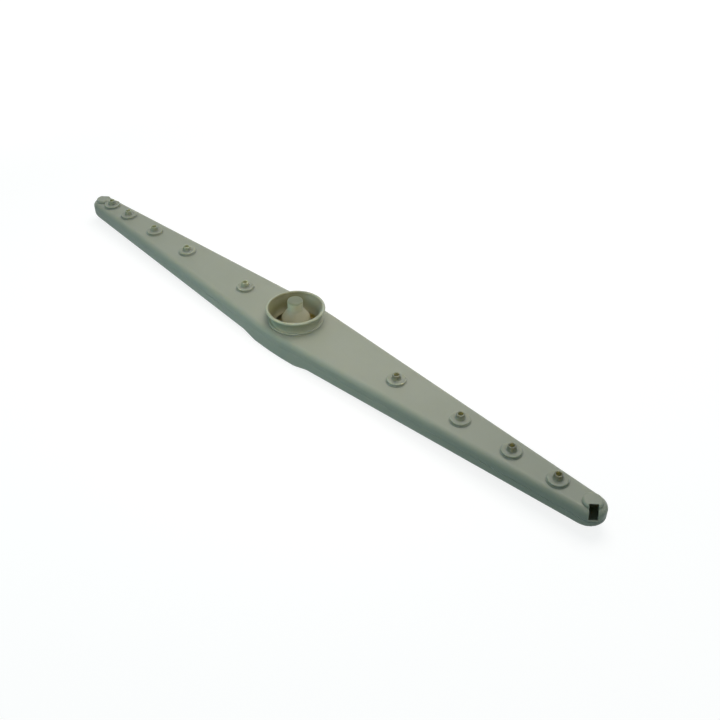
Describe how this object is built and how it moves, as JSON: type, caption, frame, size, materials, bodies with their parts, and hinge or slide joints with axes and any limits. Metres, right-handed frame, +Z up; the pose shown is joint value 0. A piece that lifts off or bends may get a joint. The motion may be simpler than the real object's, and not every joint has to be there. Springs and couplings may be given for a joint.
{
  "type": "dishwasher spray arm",
  "caption": "Long hollow spray arm, flat on top and tapering to round noses, with push-in jets and a flared inlet cup round the spigot it spins on.",
  "frame": {"origin": "on the spin axis, at the underside of the hub pad", "axes": "+X along the arm towards the half with fewer jets, +Z up the spin axis towards the inlet cup"},
  "size_m": [0.45, 0.0418, 0.0308],
  "materials": {
    "arm": "satin pale grey-green",
    "collar": "satin pale grey-green",
    "jet": "satin pale grey-green",
    "spigot": "satin pale grey-green",
    "ring": "plain spring steel"
  },
  "bodies": {
    "pivot": {"pivot_hub": "spigot", "retaining_ring": "ring"},
    "arm": {"upper_shell": "arm", "lower_shell": "arm", "inlet_collar": "collar", "jet_left_1": "jet", "jet_left_2": "jet", "jet_left_3": "jet", "jet_left_4": "jet", "jet_left_5": "jet", "jet_right_1": "jet", "jet_right_2": "jet", "jet_right_3": "jet", "jet_right_4": "jet"}
  },
  "joints": [
    {"name": "arm_spin", "type": "hinge", "parent": "pivot", "child": "arm", "pos_m": [0, 0, 0], "axis": [0, 0, 1], "continuous": true}
  ]
}
